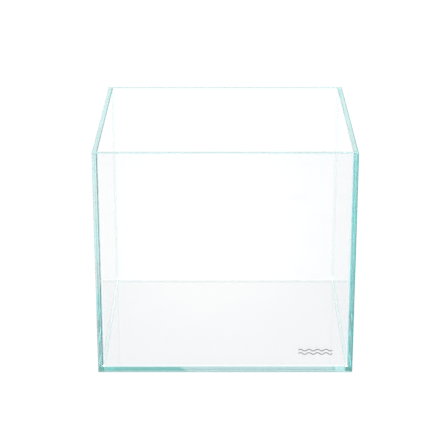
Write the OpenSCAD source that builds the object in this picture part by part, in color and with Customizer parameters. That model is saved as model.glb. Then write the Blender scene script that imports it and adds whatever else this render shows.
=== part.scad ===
// Rimless all-glass aquarium tank: five panes bonded edge to edge with clear silicone.
// Front is towards -Y and +Z is up. The origin is under the middle of the tank,
// on the surface that the tank stands on.
//
// The front and rear panes run the full width and lap over the ends of the side panes.
// The base pane is set in between the four walls, flush with their lower edges.

/* [Tank] */
// Outside width, along the front pane
tank_w = 300; // [200:1:600]
// Outside depth, from the front face to the rear face
tank_d = 277; // [200:1:500]
// Outside height, from the supporting surface to the rim
tank_h = 272; // [150:1:500]

/* [Glass] */
// Thickness of every pane
glass_t = 6; // [4:0.5:10]
// Leg of the ground and polished chamfer on every pane edge
arris = 0.8; // [0.3:0.1:1.4]

/* [Silicone] */
// Thickness of the bond layer between two panes
bond_t = 0.8; // [0.5:0.1:2]
// How far the bond layer is cut back into the open seam, as a share of the arris leg
seam_depth = 0.5; // [0.2:0.05:0.9]
// Leg of the inner bead along each pane
bead_leg = 2; // [1.5:0.1:8]
// Hollowing of the bead, as its arc's centre distance in legs (larger is flatter)
bead_flatness = 1.6; // [1.2:0.1:4]
// Distance that the upright beads stop short of the rim
bead_top_gap = 1.2; // [0:0.1:5]

/* [Printed mark] */
// Length of the mark
mark_w = 40; // [25:1:60]
// Number of wave arcs in each row of the mark
mark_arcs = 8; // [4:1:12]
// Number of rows
mark_rows = 2; // [1:1:3]
// Distance from one row to the next
mark_pitch = 4.4; // [2.5:0.1:6]
// Width of the printed line
mark_line = 1.2; // [0.4:0.1:1.6]
// Thickness of the print on the glass
mark_t = 0.05; // [0.05:0.05:0.3]
// Distance of the mark's middle from the tank's right side
mark_from_side = 44; // [35:1:120]
// Height of the mark's middle above the supporting surface
mark_z = 27; // [12:1:100]

/* [Hidden] */

glass_colour = [0.72, 0.90, 0.88, 0.45];
bond_colour = [0.88, 0.93, 0.93, 0.8];
bead_colour = [0.93, 0.96, 0.96, 0.8];
mark_colour = [0.55, 0.57, 0.57];

// Half sizes of the water space, between the inner faces of the walls.
inside_x = tank_w / 2 - glass_t;
inside_y = tank_d / 2 - glass_t;
// The side panes stand between the front and rear panes, a bond layer clear of each.
side_pane_d = 2 * (inside_y - bond_t);
base_pane_w = 2 * (inside_x - bond_t);
base_pane_d = 2 * (inside_y - bond_t);

// The open seam's depth, and how far the bond swells into the arrises beside it there.
bond_recess = seam_depth * arris;
seam_swell = arris - bond_recess;

// Arc of the bead's hollow face: it passes through the ends of both legs.
bead_arc_centre = bead_flatness * bead_leg;
bead_arc_r = norm([bead_arc_centre - bead_leg, bead_arc_centre]);

// Longer than any bead or bond, for the blocks that cut their ends to a mitre.
beyond = 2 * max(tank_w, tank_d, tank_h);

// Rectangle with its corners cut off at 45 degrees, centred on the origin.
module chamfered_rectangle(w, h, c) {
    x = w / 2;
    y = h / 2;
    polygon([
        [-x, -y + c], [-x + c, -y], [x - c, -y], [x, -y + c],
        [x, y - c], [x - c, y], [-x + c, y], [-x, y - c]
    ]);
}

// Pane w wide, h high and one glass thickness deep along Y, centred on the origin.
// Two profiles crossed give it an arris along every edge of both faces, and the third
// dubs its four corners.
module pane(w, h) {
    intersection() {
        linear_extrude(height = h, center = true)
            chamfered_rectangle(w, glass_t, arris);
        rotate([90, 0, 90])
            linear_extrude(height = w, center = true)
                chamfered_rectangle(glass_t, h, arris);
        rotate([90, 0, 0])
            linear_extrude(height = glass_t, center = true)
                chamfered_rectangle(w, h, arris);
    }
}

// Full-width pane across the front (side -1) or the rear (side 1).
module cross_pane(side) {
    translate([0, side * (inside_y + glass_t / 2), tank_h / 2])
        pane(tank_w, tank_h);
}

// Side pane on the left (side -1) or the right (side 1).
module side_pane(side) {
    translate([side * (inside_x + glass_t / 2), 0, tank_h / 2])
        rotate([0, 0, 90])
            pane(side_pane_d, tank_h);
}

// Cross-section of a bond layer. Along X it runs from the open seam at 0 to the inside of
// the tank at glass_t. Along Y it fills the gap from one pane's face at 0 to the other
// pane's edge at bond_t, and it swells into the arrises beside it.
// seam_flare is true where the pane at Y = 0 has an arris at the seam too.
module bond_section(seam_flare) {
    face_side = seam_flare ? [[bond_recess, -seam_swell], [arris, 0]] : [[bond_recess, 0]];
    edge_side = [
        [glass_t, 0], [glass_t, bond_t + arris], [glass_t - arris, bond_t],
        [arris, bond_t], [bond_recess, bond_t + seam_swell]
    ];
    polygon(concat(face_side, edge_side));
}

// Cross-section of an inner bead in the corner at the origin, along +X and +Y.
module bead_section() {
    difference() {
        square(bead_leg);
        translate([bead_arc_centre, bead_arc_centre])
            circle(r = bead_arc_r, $fn = 96);
    }
}

// Turns children that are made for the front left corner over to another one.
// side_x is -1 for left and 1 for right, and side_y is -1 for front and 1 for rear.
module to_corner(side_x, side_y) {
    mirror([side_x > 0 ? 1 : 0, 0, 0])
        mirror([0, side_y > 0 ? 1 : 0, 0])
            children();
}

// Upright bond layer between the end of a side pane and the pane that laps over it.
module upright_bond(side_x, side_y) {
    to_corner(side_x, side_y)
        translate([-tank_w / 2, -inside_y, bond_recess])
            linear_extrude(height = tank_h - 2 * bond_recess)
                bond_section(true);
}

// Keeps what lies between two 45 degree planes that start at the ends of a run of length
// 2 * half_run along X and close in along +Y.
module mitre_keep(half_run) {
    linear_extrude(height = beyond, center = true)
        polygon([[-half_run, 0], [half_run, 0], [0, half_run]]);
}

// Bond layer between a wall and the base pane's edge. It is made along X, with the wall's
// inner face at Y = 0, the base pane towards +Y, and its ends mitred.
module base_bond(half_run) {
    intersection() {
        rotate([90, 0, 90])
            linear_extrude(height = beyond, center = true)
                mirror([1, -1])
                    bond_section(false);
        mitre_keep(half_run);
    }
}

// Inner bead along X, with the wall's inner face at Y = 0 and the base's face at Z = 0.
// Its ends are mitred in plan against its neighbours, and in height against the upright
// beads.
module base_bead(half_run) {
    intersection() {
        rotate([90, 0, 90])
            linear_extrude(height = beyond, center = true)
                bead_section();
        mitre_keep(half_run);
        rotate([90, 0, 0])
            mitre_keep(half_run);
    }
}

// Keeps what lies above the plane that rises at 45 degrees along +X.
module foot_keep() {
    reach = 2 * bead_leg;
    rotate([90, 0, 0])
        linear_extrude(height = beyond, center = true)
            polygon([[0, 0], [reach, reach], [reach, beyond], [0, beyond]]);
}

// Upright inner bead in a corner of the tank, its foot cut to fit between the base beads.
module upright_bead(side_x, side_y) {
    to_corner(side_x, side_y)
        translate([-inside_x, -inside_y, glass_t])
            intersection() {
                linear_extrude(height = tank_h - bead_top_gap - glass_t)
                    bead_section();
                foot_keep();
                mirror([1, -1, 0])
                    foot_keep();
            }
}

// Puts children that are made along X, for the front wall, against one of the four walls.
module to_wall(wall) {
    turn = wall == "front" ? 0 : wall == "right" ? 90 : wall == "rear" ? 180 : -90;
    distance = wall == "front" || wall == "rear" ? inside_y : inside_x;
    rotate([0, 0, turn])
        translate([0, -distance, 0])
            children();
}

module base_glass() {
    color(glass_colour)
        translate([0, 0, glass_t / 2])
            rotate([90, 0, 0])
                pane(base_pane_w, base_pane_d);
}

module front_glass() {
    color(glass_colour)
        cross_pane(-1);
}

module rear_glass() {
    color(glass_colour)
        cross_pane(1);
}

module left_glass() {
    color(glass_colour)
        side_pane(-1);
}

module right_glass() {
    color(glass_colour)
        side_pane(1);
}

module bond_front_left() {
    color(bond_colour)
        upright_bond(-1, -1);
}

module bond_front_right() {
    color(bond_colour)
        upright_bond(1, -1);
}

module bond_rear_left() {
    color(bond_colour)
        upright_bond(-1, 1);
}

module bond_rear_right() {
    color(bond_colour)
        upright_bond(1, 1);
}

module bond_base_front() {
    color(bond_colour)
        to_wall("front")
            base_bond(inside_x);
}

module bond_base_rear() {
    color(bond_colour)
        to_wall("rear")
            base_bond(inside_x);
}

module bond_base_left() {
    color(bond_colour)
        to_wall("left")
            base_bond(inside_y);
}

module bond_base_right() {
    color(bond_colour)
        to_wall("right")
            base_bond(inside_y);
}

module bead_front_left() {
    color(bead_colour)
        upright_bead(-1, -1);
}

module bead_front_right() {
    color(bead_colour)
        upright_bead(1, -1);
}

module bead_rear_left() {
    color(bead_colour)
        upright_bead(-1, 1);
}

module bead_rear_right() {
    color(bead_colour)
        upright_bead(1, 1);
}

module bead_base_front() {
    color(bead_colour)
        to_wall("front")
            translate([0, 0, glass_t])
                base_bead(inside_x);
}

module bead_base_rear() {
    color(bead_colour)
        to_wall("rear")
            translate([0, 0, glass_t])
                base_bead(inside_x);
}

module bead_base_left() {
    color(bead_colour)
        to_wall("left")
            translate([0, 0, glass_t])
                base_bead(inside_y);
}

module bead_base_right() {
    color(bead_colour)
        to_wall("right")
            translate([0, 0, glass_t])
                base_bead(inside_y);
}

// One arc of a printed wave: a quarter ring whose chord lies on the X axis.
// up is 1 for a crest and -1 for a trough.
module wave_arc(chord, up) {
    arc_r = chord / sqrt(2);
    outer_r = arc_r + mark_line / 2;
    reach = 2 * outer_r;
    translate([chord / 2, -up * arc_r * cos(45)])
        intersection() {
            difference() {
                circle(r = outer_r, $fn = 64);
                circle(r = outer_r - mark_line, $fn = 64);
            }
            polygon([[0, 0], [-reach, up * reach], [reach, up * reach]]);
        }
}

// Generic mark: rows of a printed wave on the front pane's outer face.
module printed_mark() {
    chord = mark_w / mark_arcs;
    color(mark_colour)
        translate([tank_w / 2 - mark_from_side, -tank_d / 2, mark_z])
            rotate([90, 0, 0])
                linear_extrude(height = mark_t)
                    for (row = [0 : mark_rows - 1])
                        for (i = [0 : mark_arcs - 1])
                            translate([i * chord - mark_w / 2, (row - (mark_rows - 1) / 2) * mark_pitch])
                                wave_arc(chord, i % 2 == 0 ? 1 : -1);
}

base_glass();
front_glass();
rear_glass();
left_glass();
right_glass();
bond_front_left();
bond_front_right();
bond_rear_left();
bond_rear_right();
bond_base_front();
bond_base_rear();
bond_base_left();
bond_base_right();
bead_front_left();
bead_front_right();
bead_rear_left();
bead_rear_right();
bead_base_front();
bead_base_rear();
bead_base_left();
bead_base_right();
printed_mark();
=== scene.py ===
"""Looks of a rimless all-glass aquarium tank.

The panes, bonds, beads and printed mark are the CAD model's own solids. This script gives them
clear glass with teal edges, clear silicone and a grey print, with painted light and shade on the
glass and silicone, and sets the studio and the camera.
Lengths are in metres and colours are linear. A chamfer on a pane's edge is called an arris.
"""

import math

import bpy
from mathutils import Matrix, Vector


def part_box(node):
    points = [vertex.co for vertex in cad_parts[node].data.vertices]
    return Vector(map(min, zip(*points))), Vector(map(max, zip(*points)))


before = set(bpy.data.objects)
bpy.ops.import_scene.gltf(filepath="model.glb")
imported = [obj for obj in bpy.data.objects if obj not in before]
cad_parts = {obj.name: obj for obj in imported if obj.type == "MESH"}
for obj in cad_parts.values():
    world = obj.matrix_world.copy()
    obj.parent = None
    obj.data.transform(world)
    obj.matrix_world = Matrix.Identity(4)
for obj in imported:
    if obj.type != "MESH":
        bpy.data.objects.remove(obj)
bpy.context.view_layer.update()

# The tank, as packed: its right side, its rim, the inner face of its right pane, and its glass.
HALF_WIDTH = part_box("front_glass")[1][0]
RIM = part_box("front_glass")[1][2]
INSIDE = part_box("right_glass")[0][0]
GLASS = HALF_WIDTH - INSIDE

CLEAR = (1.0, 1.0, 1.0)
BLACK = (0.0, 0.0, 0.0)
WHITE_LIGHT = (1.0, 1.0, 1.0, 1.0)

# Studio: white near the horizon, pale grey above, and darkest up behind the camera on the right.
SKY_LIGHT = 0.85
DARK_LIGHT = 0.3
DARK_TOWARD = (0.5, -1.0, 0.5)
DARK_RANGE = (-0.2, 0.7)
HORIZON_RANGE = (0.12, 0.32)
FLOOR_ALBEDO = (0.05, 0.08)
FLOOR_GRAIN = 30.0
FLOOR_GLOW = 1.01
FLOOR_GAP = 0.0003
FLOOR_SIZE = 40.0

# Enough bounces for light to run the length of a pane.
LIGHT_BOUNCES = 96

# Camera: a long lens in millimetres, tilted down in degrees and turned to the left in radians.
CAMERA_PLACE = (-0.00107, -1.79869, 0.81044)
CAMERA_DOWN = 20.5725
CAMERA_PAN = 0.000176
CAMERA_LENS = 125.15
CAMERA_NEAR = 0.01

# A surface is turned along an axis where that part of its normal passes TURNED, and faces
# straight along it where the part passes SQUARE, which no arris does.
TURNED = 0.5
SQUARE = 0.9

# Glass: its body, its faces and its edge faces. Edge faces have the glass's own teal, and where
# they look deeper teal is painted shade, set by place. ALONG_FRONT keeps the parts of an offset
# that run along the front pane.
GLASS_IOR = 1.52
GLASS_TINT = (0.0, 0.72, 0.68)
GLASS_DENSITY = 0.70
# Face greys: painted shade on the side panes, a painted reflection greyer toward the front's
# corners.
SIDE_FACE_PAINTED_SHADE = (0.935, 0.93, 0.93)
FRONT_FACE_PAINTED_REFLECTION = (0.915, 0.925, 0.94)
FRONT_FACE_CLEAREST = (-0.02, 0.0, 0.175)
FRONT_FACE_RANGE = (0.04, 0.20)
ALONG_FRONT = (1.0, 0.0, 1.0)
EDGE_RIM = (0.82, 1.0, 1.0)
EDGE_SHADED_TEAL = (0.33, 0.85, 0.83)
EDGE_MOTTLED = (0.44, 0.98, 0.95)
EDGE_LOW = (0.66, 0.94, 0.94)
EDGE_FOOT_SHADE = (0.16, 0.72, 0.62)
RIM_FROM = RIM - 0.0005
FOOT_HEIGHT = GLASS + 0.0002
FOOT_FROM = INSIDE - 0.0002
# SHADE is painted shade on the glass by the right side, where it faces the front or the top.
SHADE = (0.34, 0.50, 0.50)
SHADE_FROM = HALF_WIDTH - 0.0013
MOTTLE_SCALE = 260.0
MOTTLE_STRETCH = 0.12
MOTTLE_RANGE = (0.35, 0.65)
STREAK_SCALE = 2600.0
STREAK_STRETCH = 0.015
STREAK_DEPTH = 0.04

# Painted shade, where edges look deep teal: on the front's left end below a slanting line, along
# its foot to the left of another one, and on the right end below the rim.
DEEP_UP = 0.090
DEEP_UP_SLANT = -3.3
DEEP_ALONG = 0.102
DEEP_ALONG_SLANT = 1.7
DEEP_RIGHT_FROM = INSIDE - 0.0055
DEEP_RIGHT_BELOW = RIM - 0.010
DEEP_FADE = 0.005

# Arrises: lit and shaded colours painted by the way that they face, and a painted glow for the
# light that they scatter.
ARRIS_PAINTED_LIT = (0.96, 0.99, 0.99)
ARRIS_PAINTED_UNDER_SHADE = (0.38, 0.58, 0.58)
ARRIS_PAINTED_CROSS_SHADE = (0.66, 0.76, 0.76)
ARRIS_PAINTED_SHADE = (0.10, 0.20, 0.20)
ARRIS_PAINTED_TOP_SHADE = (0.12, 0.22, 0.22)
# The arrises' glow is painted light, for the light that they scatter.
ARRIS_PAINTED_GLOW = (0.04, 0.10, 0.10)
RIM_PAINTED_GLOW = (0.10, 0.26, 0.25)
ARRIS_ROUGHNESS = 0.08

# Silicone: the bonds between panes, with a painted shade line beside each joint, and the inner
# beads.
SILICONE_CLEAR = (0.99, 1.0, 1.0)
SILICONE_CLOUDY = (0.95, 0.98, 0.98)
SILICONE_GRAIN = 140.0
SILICONE_GAP = 0.00002
BOND_IOR = 1.41
BOND_ROUGHNESS = 0.02
BOND_LOW = (0.94, 0.99, 0.99)
BOND_SHADED_TEAL = (0.47, 0.80, 0.76)
BOND_LOW_TO = GLASS - 0.0008
SHADE_LINE_LEFT = (0.30, 0.44, 0.44)
SHADE_LINE_LEFT_DEEP = (0.09, 0.24, 0.24)
SHADE_LINE_RIGHT = (0.58, 0.84, 0.84)
SHADE_LINE_FROM = INSIDE + 0.0001
SHADE_LINE_TO = INSIDE + 0.0013
SHADE_LINE_ABOVE = GLASS + 0.0015
BEAD_IOR = 1.22
# The beads' glow is painted light, and their rear tint is painted shade.
BEAD_PAINTED_GLOW = 0.05
BEAD_ROUGHNESS = (0.02, 0.10)
BEAD_REAR_SHADE = (0.84, 0.88, 0.88)
BEAD_RIGHT = (0.80, 0.94, 0.95)
BASE_BEADS_BELOW = 2 * GLASS
TOOLING_SCALE = 420.0
TOOLING_HEIGHT = 0.00001

# Print
PRINT_DENSE = (0.30, 0.31, 0.31)
PRINT_THIN = (0.46, 0.47, 0.47)
PRINT_GRAIN = 1500.0
PRINT_DETAIL = 4.0
PRINT_ROUGHNESS = (0.5, 0.8)
PRINT_RELIEF = 0.00001

# The part of a noise's values that a roughness is spread over.
NOISE_SPREAD = (0.3, 0.7)

# Sockets of the Mix node that hold colours.
MIX_COLOURS = (6, 7)
MIX_RESULT = 2


def new_material(name):
    """A node material, its node tree and its Principled shader."""
    material = bpy.data.materials.new(name)
    material.use_nodes = True
    tree = material.node_tree
    return material, tree, tree.nodes["Principled BSDF"]


def math_node(tree, operation, first, second=None):
    """Output of a Math node. An input is a number or another node's output."""
    node = tree.nodes.new("ShaderNodeMath")
    node.operation = operation
    for socket, value in zip(node.inputs, (first, second)):
        if value is None:
            continue
        if isinstance(value, (int, float)):
            socket.default_value = value
        else:
            tree.links.new(value, socket)
    return node.outputs[0]


def below(tree, value, limit):
    """1 where value is below limit."""
    return math_node(tree, "LESS_THAN", value, limit)


def above(tree, value, limit):
    """1 where value is above limit."""
    return math_node(tree, "GREATER_THAN", value, limit)


def overlap(tree, first, *others):
    """1 where all the masks are 1."""
    for mask in others:
        first = math_node(tree, "MULTIPLY", first, mask)
    return first


def ramp_node(tree, value, low, high, start=0.0, end=1.0):
    """Output of a smooth ramp: start where value is at low, end where it is at high."""
    node = tree.nodes.new("ShaderNodeMapRange")
    node.interpolation_type = "SMOOTHSTEP"
    tree.links.new(value, node.inputs["Value"])
    node.inputs["From Min"].default_value = low
    node.inputs["From Max"].default_value = high
    node.inputs["To Min"].default_value = start
    node.inputs["To Max"].default_value = end
    return node.outputs["Result"]


def mix_node(tree, factor, first, second):
    """Output of a colour mix. A colour is three numbers or another node's output."""
    node = tree.nodes.new("ShaderNodeMix")
    node.data_type = "RGBA"
    tree.links.new(factor, node.inputs["Factor"])
    for socket, value in zip(MIX_COLOURS, (first, second)):
        if isinstance(value, tuple):
            node.inputs[socket].default_value = (*value, 1.0)
        else:
            tree.links.new(value, node.inputs[socket])
    return node.outputs[MIX_RESULT]


def split_node(tree, vector):
    """The three components of a vector output."""
    split = tree.nodes.new("ShaderNodeSeparateXYZ")
    tree.links.new(vector, split.inputs["Vector"])
    return split.outputs


def vector_node(tree, operation, vector, second=None):
    """Vector Math node on a vector output and, where it takes one, a fixed vector."""
    node = tree.nodes.new("ShaderNodeVectorMath")
    node.operation = operation
    tree.links.new(vector, node.inputs[0])
    if second is not None:
        node.inputs[1].default_value = second
    return node


def noise_node(tree, place, scale, stretch=None, detail=2.0):
    """Noise from 0 to 1. stretch holds a factor for each axis, small along a streak."""
    noise = tree.nodes.new("ShaderNodeTexNoise")
    noise.inputs["Scale"].default_value = scale
    noise.inputs["Detail"].default_value = detail
    if stretch is not None:
        place = vector_node(tree, "MULTIPLY", place, stretch).outputs["Vector"]
    tree.links.new(place, noise.inputs["Vector"])
    return noise.outputs["Fac"]


def bump_node(tree, height, distance):
    """Normal of a bump map. distance is the height of a full step."""
    bump = tree.nodes.new("ShaderNodeBump")
    bump.inputs["Distance"].default_value = distance
    tree.links.new(height, bump.inputs["Height"])
    return bump.outputs["Normal"]


def along_panes(axis, stretch):
    """Stretch for streaks that keep to the length of a pane's edges: full across its thickness."""
    return tuple(1.0 if i == axis else stretch for i in range(3))


def slanted_mask(tree, value, slant, other, limit):
    """1 where value plus slant times other is below limit, with a short fade above it."""
    skewed = math_node(tree, "ADD", value, math_node(tree, "MULTIPLY", other, slant))
    return ramp_node(tree, skewed, limit, limit + DEEP_FADE, 1.0, 0.0)


def deep_shade_mask(tree, place):
    """1 where edges are painted deep teal shade: by the lower left front corner and on the right.
    """
    x, y, z = split_node(tree, place)
    from_left = math_node(tree, "ADD", x, HALF_WIDTH)
    up = slanted_mask(tree, z, DEEP_UP_SLANT, from_left, DEEP_UP)
    up = overlap(tree, up, below(tree, x, -FOOT_FROM))
    along = slanted_mask(tree, from_left, DEEP_ALONG_SLANT, z, DEEP_ALONG)
    along = overlap(tree, along, below(tree, z, FOOT_HEIGHT))
    corner = overlap(tree, math_node(tree, "MAXIMUM", along, up), below(tree, y, 0.0))
    right = ramp_node(tree, x, DEEP_RIGHT_FROM, DEEP_RIGHT_FROM + DEEP_FADE)
    right = overlap(tree, right, below(tree, z, DEEP_RIGHT_BELOW))
    return math_node(tree, "MAXIMUM", corner, right)


def face_colour(tree, place, axis):
    """Painted shade and reflection: side panes pale grey, the front pane greyer toward its
    corners.
    """
    if axis == 0:
        return SIDE_FACE_PAINTED_SHADE
    if axis == 2:
        return CLEAR
    offset = vector_node(tree, "SUBTRACT", place, FRONT_FACE_CLEAREST).outputs["Vector"]
    offset = vector_node(tree, "MULTIPLY", offset, ALONG_FRONT).outputs["Vector"]
    distance = vector_node(tree, "LENGTH", offset).outputs["Value"]
    outward = ramp_node(tree, distance, *FRONT_FACE_RANGE)
    front = below(tree, split_node(tree, place)[1], 0.0)
    return mix_node(tree, overlap(tree, outward, front), CLEAR, FRONT_FACE_PAINTED_REFLECTION)


def edge_colour(tree, place, axis, steep):
    """Edge teal with painted shade, and the mottling and polishing streaks of the real edges."""
    x, y, z = split_node(tree, place)
    mottle = noise_node(tree, place, MOTTLE_SCALE, along_panes(axis, MOTTLE_STRETCH))
    deep = mix_node(tree, ramp_node(tree, mottle, *MOTTLE_RANGE), EDGE_SHADED_TEAL, EDGE_MOTTLED)
    upright = below(tree, steep[2], TURNED)
    low = overlap(tree, below(tree, z, FOOT_HEIGHT), below(tree, y, 0.0), upright)
    rim = EDGE_RIM if axis == 0 else CLEAR
    colour = mix_node(tree, above(tree, z, RIM_FROM), CLEAR, rim)
    colour = mix_node(tree, low, colour, EDGE_LOW)
    colour = mix_node(tree, overlap(tree, deep_shade_mask(tree, place), upright), colour, deep)
    # The lower corners of the front are painted deep teal as shade.
    foot = overlap(tree, low, above(tree, math_node(tree, "ABSOLUTE", x), FOOT_FROM))
    colour = mix_node(tree, foot, colour, EDGE_FOOT_SHADE)
    streak = noise_node(tree, place, STREAK_SCALE, along_panes(axis, STREAK_STRETCH))
    streak = math_node(tree, "MULTIPLY", streak, STREAK_DEPTH)
    dimmer = vector_node(tree, "SCALE", colour)
    tree.links.new(math_node(tree, "ADD", streak, 1.0 - STREAK_DEPTH), dimmer.inputs["Scale"])
    return dimmer.outputs["Vector"]


def arris_colour(tree, place, signed):
    """Painted light and shade on arrises: those facing right, away from the light, look dark."""
    faces_up = above(tree, signed[2], TURNED)
    on_right = above(tree, split_node(tree, place)[0], 0.0)
    shaded_top = mix_node(tree, on_right, ARRIS_PAINTED_LIT, ARRIS_PAINTED_TOP_SHADE)
    dark = mix_node(tree, faces_up, ARRIS_PAINTED_SHADE, shaded_top)
    light = mix_node(tree, below(tree, signed[2], -TURNED), ARRIS_PAINTED_LIT, ARRIS_PAINTED_UNDER_SHADE)
    crosswise = above(tree, math_node(tree, "ABSOLUTE", signed[1]), TURNED)
    light = mix_node(tree, overlap(tree, faces_up, crosswise), light, ARRIS_PAINTED_CROSS_SHADE)
    return mix_node(tree, above(tree, signed[0], TURNED), light, dark)


def arris_painted_glow(tree, arris, signed, axis):
    """Painted glow for the light that the arrises scatter, except those that face right or down.
    """
    scatter = ARRIS_PAINTED_GLOW
    if axis == 0:
        scatter = mix_node(tree, above(tree, signed[2], TURNED), ARRIS_PAINTED_GLOW, RIM_PAINTED_GLOW)
    lit = overlap(tree, arris, below(tree, signed[0], TURNED), above(tree, signed[2], -TURNED))
    return mix_node(tree, lit, BLACK, scatter)


def shade_mask(tree, place, signed):
    """1 on the strip by the right side of the tank that faces the front or the top: painted shade.
    """
    toward_front = math_node(tree, "MULTIPLY", signed[1], -1.0)
    facing = math_node(tree, "MAXIMUM", toward_front, signed[2])
    by_side = above(tree, split_node(tree, place)[0], SHADE_FROM)
    return overlap(tree, by_side, above(tree, facing, SQUARE))


def glass_material(name, axis):
    """Glass of a pane thin along axis: tinted edges, ground arrises and painted light and shade.
    """
    material, tree, shader = new_material(name)
    coordinates = tree.nodes.new("ShaderNodeTexCoord")
    place = coordinates.outputs["Object"]
    normal = coordinates.outputs["Normal"]
    signed = split_node(tree, normal)
    steep = split_node(tree, vector_node(tree, "ABSOLUTE", normal).outputs["Vector"])
    steepest = math_node(tree, "MAXIMUM", steep[0], steep[1])
    steepest = math_node(tree, "MAXIMUM", steepest, steep[2])
    arris = below(tree, steepest, SQUARE)
    edge = below(tree, steep[axis], SQUARE)
    face = face_colour(tree, place, axis)
    colour = mix_node(tree, edge, face, edge_colour(tree, place, axis, steep))
    colour = mix_node(tree, shade_mask(tree, place, signed), colour, SHADE)
    colour = mix_node(tree, arris, colour, arris_colour(tree, place, signed))
    tree.links.new(colour, shader.inputs["Base Color"])
    tree.links.new(arris_painted_glow(tree, arris, signed, axis), shader.inputs["Emission Color"])
    shader.inputs["Emission Strength"].default_value = 1.0
    rough = math_node(tree, "MULTIPLY", arris, ARRIS_ROUGHNESS)
    tree.links.new(rough, shader.inputs["Roughness"])
    shader.inputs["Transmission Weight"].default_value = 1.0
    shader.inputs["IOR"].default_value = GLASS_IOR
    absorption = tree.nodes.new("ShaderNodeVolumeAbsorption")
    absorption.inputs["Color"].default_value = (*GLASS_TINT, 1.0)
    absorption.inputs["Density"].default_value = GLASS_DENSITY
    output = tree.nodes["Material Output"]
    tree.links.new(absorption.outputs["Volume"], output.inputs["Volume"])
    return material


def bond_material():
    """Silicone between two panes, with the teal and painted shade of the edges that it joins."""
    material, tree, shader = new_material("bond_silicone")
    place = tree.nodes.new("ShaderNodeTexCoord").outputs["Object"]
    x, _, z = split_node(tree, place)
    cloud = noise_node(tree, place, SILICONE_GRAIN)
    colour = mix_node(tree, cloud, SILICONE_CLEAR, SILICONE_CLOUDY)
    deep = deep_shade_mask(tree, place)
    low = mix_node(tree, deep, BOND_LOW, BOND_SHADED_TEAL)
    colour = mix_node(tree, below(tree, z, BOND_LOW_TO), colour, low)
    # A painted shade line runs beside each upright joint, deeper teal where the edges are.
    across = math_node(tree, "ABSOLUTE", x)
    line = overlap(tree, above(tree, across, SHADE_LINE_FROM), below(tree, across, SHADE_LINE_TO))
    line = overlap(tree, line, above(tree, z, SHADE_LINE_ABOVE))
    shade = mix_node(tree, deep, SHADE_LINE_LEFT, SHADE_LINE_LEFT_DEEP)
    shade = mix_node(tree, above(tree, x, 0.0), shade, SHADE_LINE_RIGHT)
    tree.links.new(mix_node(tree, line, colour, shade), shader.inputs["Base Color"])
    shader.inputs["Roughness"].default_value = BOND_ROUGHNESS
    shader.inputs["Transmission Weight"].default_value = 1.0
    shader.inputs["IOR"].default_value = BOND_IOR
    return material


def bead_material():
    """Silicone of the inner beads, with a painted glow and the ripples that a tooling finger
    leaves.

    Painted shade darkens the upright beads at the rear; they are tinted at the front right.
    """
    material, tree, shader = new_material("bead_silicone")
    place = tree.nodes.new("ShaderNodeTexCoord").outputs["Object"]
    x, y, z = split_node(tree, place)
    cloud = noise_node(tree, place, SILICONE_GRAIN)
    colour = mix_node(tree, cloud, SILICONE_CLEAR, SILICONE_CLOUDY)
    upright = above(tree, z, BASE_BEADS_BELOW)
    colour = mix_node(tree, overlap(tree, above(tree, y, 0.0), upright), colour, BEAD_REAR_SHADE)
    right = overlap(tree, below(tree, y, 0.0), upright, above(tree, x, 0.0))
    colour = mix_node(tree, right, colour, BEAD_RIGHT)
    tree.links.new(colour, shader.inputs["Base Color"])
    ripple = noise_node(tree, place, TOOLING_SCALE)
    tree.links.new(bump_node(tree, ripple, TOOLING_HEIGHT), shader.inputs["Normal"])
    rough = ramp_node(tree, cloud, *NOISE_SPREAD, *BEAD_ROUGHNESS)
    tree.links.new(rough, shader.inputs["Roughness"])
    shader.inputs["Transmission Weight"].default_value = 1.0
    shader.inputs["IOR"].default_value = BEAD_IOR
    shader.inputs["Emission Color"].default_value = WHITE_LIGHT
    shader.inputs["Emission Strength"].default_value = BEAD_PAINTED_GLOW
    return material


def print_material():
    """Grey printing ink, a little uneven."""
    material, tree, shader = new_material("grey_print")
    place = tree.nodes.new("ShaderNodeTexCoord").outputs["Object"]
    grain = noise_node(tree, place, PRINT_GRAIN, detail=PRINT_DETAIL)
    tree.links.new(mix_node(tree, grain, PRINT_DENSE, PRINT_THIN), shader.inputs["Base Color"])
    rough = ramp_node(tree, grain, *NOISE_SPREAD, *PRINT_ROUGHNESS)
    tree.links.new(rough, shader.inputs["Roughness"])
    tree.links.new(bump_node(tree, grain, PRINT_RELIEF), shader.inputs["Normal"])
    return material


def dress(node, material):
    """Gives every material slot of a CAD node the same material."""
    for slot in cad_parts[node].material_slots:
        slot.material = material


def thin_axis(node):
    """The axis that a pane's thickness runs along: 0, 1 or 2 for x, y or z."""
    low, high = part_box(node)
    return min(range(3), key=lambda axis: high[axis] - low[axis])


def dress_panes():
    """Glass on each pane, by the axis of its thickness."""
    materials = [glass_material("glass_" + axis + "_pane", i) for i, axis in enumerate("xyz")]
    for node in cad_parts:
        if node.endswith("_glass"):
            dress(node, materials[thin_axis(node)])


def dress_silicone():
    """Silicone, with each face drawn in by a hair so that it doesn't coincide with the glass."""
    materials = {"bond": bond_material(), "bead": bead_material()}
    for node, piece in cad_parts.items():
        kind = node.split("_")[0]
        if kind in materials:
            dress(node, materials[kind])
            gap = piece.modifiers.new("gap", "DISPLACE")
            gap.strength = -SILICONE_GAP
            gap.mid_level = 0.0


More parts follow.
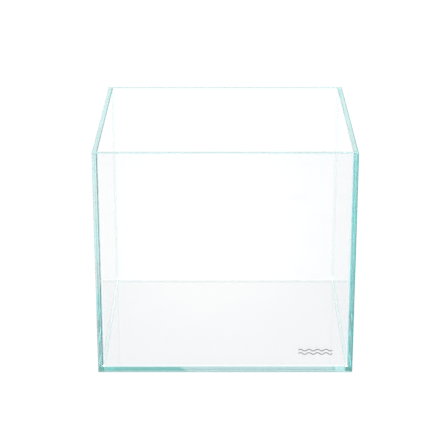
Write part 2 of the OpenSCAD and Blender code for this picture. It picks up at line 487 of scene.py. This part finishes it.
def make_world():
    """White near the horizon, pale above it, and dark above and behind the camera."""
    world = bpy.data.worlds.new("studio")
    world.use_nodes = True
    tree = world.node_tree
    direction = tree.nodes.new("ShaderNodeTexCoord").outputs["Generated"]
    length = math.dist(DARK_TOWARD, (0, 0, 0))
    dark_way = tuple(part / length for part in DARK_TOWARD)
    toward_dark = vector_node(tree, "DOT_PRODUCT", direction, dark_way).outputs["Value"]
    sky = ramp_node(tree, toward_dark, *DARK_RANGE, SKY_LIGHT, DARK_LIGHT)
    horizon = ramp_node(tree, split_node(tree, direction)[2], *HORIZON_RANGE, 1.0, 0.0)
    light = math_node(tree, "MAXIMUM", sky, horizon)
    tree.links.new(light, tree.nodes["Background"].inputs["Color"])
    bpy.context.scene.world = world


def make_floor():
    """White floor that glows like a light table."""
    bpy.ops.mesh.primitive_plane_add(size=FLOOR_SIZE, location=(0, 0, -FLOOR_GAP))
    floor = bpy.context.object
    floor.name = "floor"
    material, tree, shader = new_material("white_floor")
    place = tree.nodes.new("ShaderNodeTexCoord").outputs["Object"]
    low, high = ((albedo,) * 3 for albedo in FLOOR_ALBEDO)
    colour = mix_node(tree, noise_node(tree, place, FLOOR_GRAIN), low, high)
    tree.links.new(colour, shader.inputs["Base Color"])
    shader.inputs["Roughness"].default_value = 1.0
    shader.inputs["Specular IOR Level"].default_value = 0.0
    shader.inputs["Emission Color"].default_value = WHITE_LIGHT
    shader.inputs["Emission Strength"].default_value = FLOOR_GLOW
    floor.data.materials.append(material)


def make_camera():
    """Camera with a long lens, looking down on the tank from the front."""
    data = bpy.data.cameras.new("camera")
    data.lens = CAMERA_LENS
    data.clip_start = CAMERA_NEAR
    camera = bpy.data.objects.new("camera", data)
    camera.location = CAMERA_PLACE
    camera.rotation_euler = (math.radians(90 - CAMERA_DOWN), 0, CAMERA_PAN)
    bpy.context.scene.collection.objects.link(camera)
    bpy.context.scene.camera = camera


def let_light_through():
    """Enough bounces for light to run the length of a pane, and true white."""
    cycles = bpy.context.scene.cycles
    cycles.max_bounces = LIGHT_BOUNCES
    cycles.glossy_bounces = LIGHT_BOUNCES
    cycles.transmission_bounces = LIGHT_BOUNCES
    bpy.context.scene.view_settings.view_transform = "Standard"


make_camera()
dress_panes()
dress_silicone()
dress("printed_mark", print_material())
make_world()
make_floor()
let_light_through()
